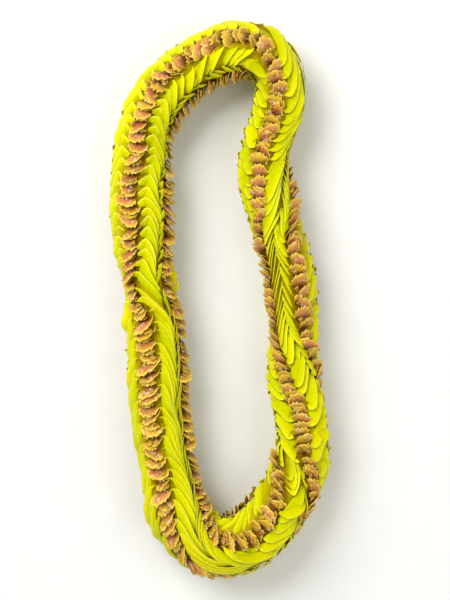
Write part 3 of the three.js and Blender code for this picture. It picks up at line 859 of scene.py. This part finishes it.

# %% The calyxes' ribs, throat and edge
# the throat's own brown, deepened into painted shade where the root lies under the cup before
root = blend(tree, kind, colour(120, 50, 24), colour(112, 66, 0))
body = layered(tree, body, [
    (ribs, 0.6, 0.9, 0.0, 0.65, colour(255, 214, 76)),  # pale ribs
    (ribs, 0.05, 0.35, 0.65, 0.0, colour(160, 66, 30)),  # brown furrows
    (along, 0.74, 0.9, 0.0, 0.8, colour(255, 206, 30)),  # golden rims
    (along, 0.3, 0.66, 1.0, 0.0, root),  # brown throats, darkened more by painted shade where they lie deep
    (mottle(tree, 330.0, 1.0), 0.6, 0.7, 0.0, 0.85, colour(255, 228, 196))])  # painted highlights: glints of light on the fur
edge = reckon(tree, "MULTIPLY", fade(tree, along, 0.88, 0.97), fade(tree, fuzz, 0.3, 0.6, 0.5, 1.0))
body = blend(tree, edge, body, colour(255, 230, 100))
relief = add(tree, "Bump", {"Height": reckon(tree, "ADD", ribs, fuzz), "Strength": 0.8, "Distance": 0.0006})
tree.links.new(body, shader.inputs["Base Color"])
tree.links.new(relief.outputs[0], shader.inputs["Normal"])
shader.inputs["Roughness"].default_value = 0.5
shader.inputs["Specular Tint"].default_value = colour(255, 200, 110)
shader.inputs["Coat Weight"].default_value = 0.2
shader.inputs["Coat Roughness"].default_value = 0.3
shader.inputs["Sheen Weight"].default_value = 0.12
shader.inputs["Sheen Roughness"].default_value = 0.5
shader.inputs["Sheen Tint"].default_value = colour(255, 210, 130)
print("calyx fur:", len(tree.nodes), "nodes")

# %% [markdown]
# ## Cotton thread
# The blossoms are threaded on plain cotton, hidden inside the rope. Its solid already has the right
# form, so it isn't built again: it keeps its own mesh and only takes this material, off-white and
# dull, with a fine mottle for its fibres.

# %% The thread's material
cotton, tree, shader = material("cotton thread")
fibres = blend(tree, mottle(tree, 1500.0, 2.0), colour(214, 204, 176), colour(240, 234, 214))
tree.links.new(fibres, shader.inputs["Base Color"])
shader.inputs["Roughness"].default_value = 0.9
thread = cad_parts["thread"]
for slot in thread.material_slots:
    slot.material = cotton
print("thread faces:", len(thread.data.polygons))

# %% [markdown]
# ## The blossoms
# The rope is built in eleven stretches of ten blossoms in each row, like the solids. One mesh for
# the whole lei would be heavy to handle, and one object for each blossom would be thousands. Each
# stretch gives one petal piece, of claws and their core, and one calyx piece, of cups, ruffs and
# frills. They stand in for the plain solids of the same stretch. The two sides of a petal row are
# a little out of step, as leaves on a twig are, and golden calyxes come mostly every second one.

# %% Eleven stretches of rope
# The first blossom's number, chosen so that the stretches' ends miss the tight bends, and how far
# each side of a petal row is out of step, in blossoms.
FIRST, OUT_OF_STEP = -2, 0.3
# How likely a calyx is golden, and how much likelier every second one and those of the last row are.
GOLD, GOLD_SECOND, GOLD_LAST = 0.12, 0.45, 0.35
# How many random numbers a copy of each kind takes.
CLAW_DRAWS, CUP_DRAWS, RUFF_DRAWS, FRILL_DRAWS = 6, 7, 5, 7


def draws(count, many):
    """Random numbers from -1 to 1, many for each copy."""
    return rng.uniform(-1, 1, (count, many))


triangles = 0
for k in range(STRETCHES):
    first = FIRST + k * PER_STRETCH
    grid = np.meshgrid(first + np.arange(PER_STRETCH), np.arange(ROWS), indexing="ij")
    i, j = (numbers.ravel() for numbers in grid)
    count = len(i)
    number = f"{k + 1:02d}"
    parts = [claws(i + OUT_OF_STEP * hand, j, hand, draws(count, CLAW_DRAWS)) for hand in (1, -1)]
    piece = build(f"claws_{number}", parts + [core(first, first + PER_STRETCH)], petal)
    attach(piece, "root")
    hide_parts(f"petals_{number}")
    triangles += triangles_of(piece)
    chance = GOLD + GOLD_SECOND * ((i + j) % 2) + GOLD_LAST * (j == 3)
    gold = (rng.random(count) < chance) * 1.0
    parts = [cups(i, j, draws(count, CUP_DRAWS), gold), ruffs(i, j, draws(count, RUFF_DRAWS))]
    parts = parts + [frills(i, j, hand, draws(count, FRILL_DRAWS)) for hand in (1, -1)]
    piece = build(f"cups_{number}", parts, fur)
    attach(piece, "root")
    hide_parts(*(f"calyxes_{row}_{number}" for row in "abcd"))
    triangles += triangles_of(piece)
print("pieces made:", 2 * STRETCHES, "with", triangles, "triangles")

# %% [markdown]
# ## Floor and light
# The lei lies on a plain pale sheet, so nothing competes with it. A ring of lamps would flatten the
# claws. One large soft lamp at the upper left models them, a weaker one opposite opens the shadows,
# and a faint warm sky fills the rest.

# %% A pale sheet
SHEET_HALF = 3  # metres
corners = [(x * SHEET_HALF, y * SHEET_HALF, 0) for x, y in ((-1, -1), (1, -1), (1, 1), (-1, 1))]
mesh = bpy.data.meshes.new("floor")
mesh.from_pydata(corners, [], [(0, 1, 2, 3)])
floor = bpy.data.objects.new("floor", mesh)
bpy.context.scene.collection.objects.link(floor)
paper, tree, shader = material("pale paper")
pale = blend(tree, mottle(tree, 30.0), colour(226, 226, 224), colour(234, 234, 232))
tree.links.new(pale, shader.inputs["Base Color"])
shader.inputs["Roughness"].default_value = 0.7
mesh.materials.append(paper)
print("sheet", 2 * SHEET_HALF, "m wide")


# %% Two lamps and a sky
def lamp(name, at, size, power):
    """A square lamp, size metres wide and of power watts, at a place in metres. It faces the middle
    of the lei: tilted by atan(r / z), then turned by atan2(x, -y)."""
    data = bpy.data.lights.new(name, "AREA")
    data.shape = "SQUARE"
    data.size = size
    data.energy = power
    obj = bpy.data.objects.new(name, data)
    obj.location = at
    obj.rotation_euler = (np.arctan2(np.hypot(at[0], at[1]), at[2]), 0, np.arctan2(at[0], -at[1]))
    bpy.context.scene.collection.objects.link(obj)


lamp("key", (-0.9, 0.9, 1.3), 1.3, 36.0)
lamp("fill", (1.1, -0.5, 1.1), 1.4, 10.0)
world = bpy.data.worlds.new("studio")
world.use_nodes = True
sky = world.node_tree.nodes["Background"]
sky.inputs["Color"].default_value = (1.0, 0.985, 0.955, 1.0)
sky.inputs["Strength"].default_value = 0.5
bpy.context.scene.world = world
bpy.context.scene.view_settings.view_transform = "Standard"
print("lamps:", [light.name for light in bpy.data.lights])
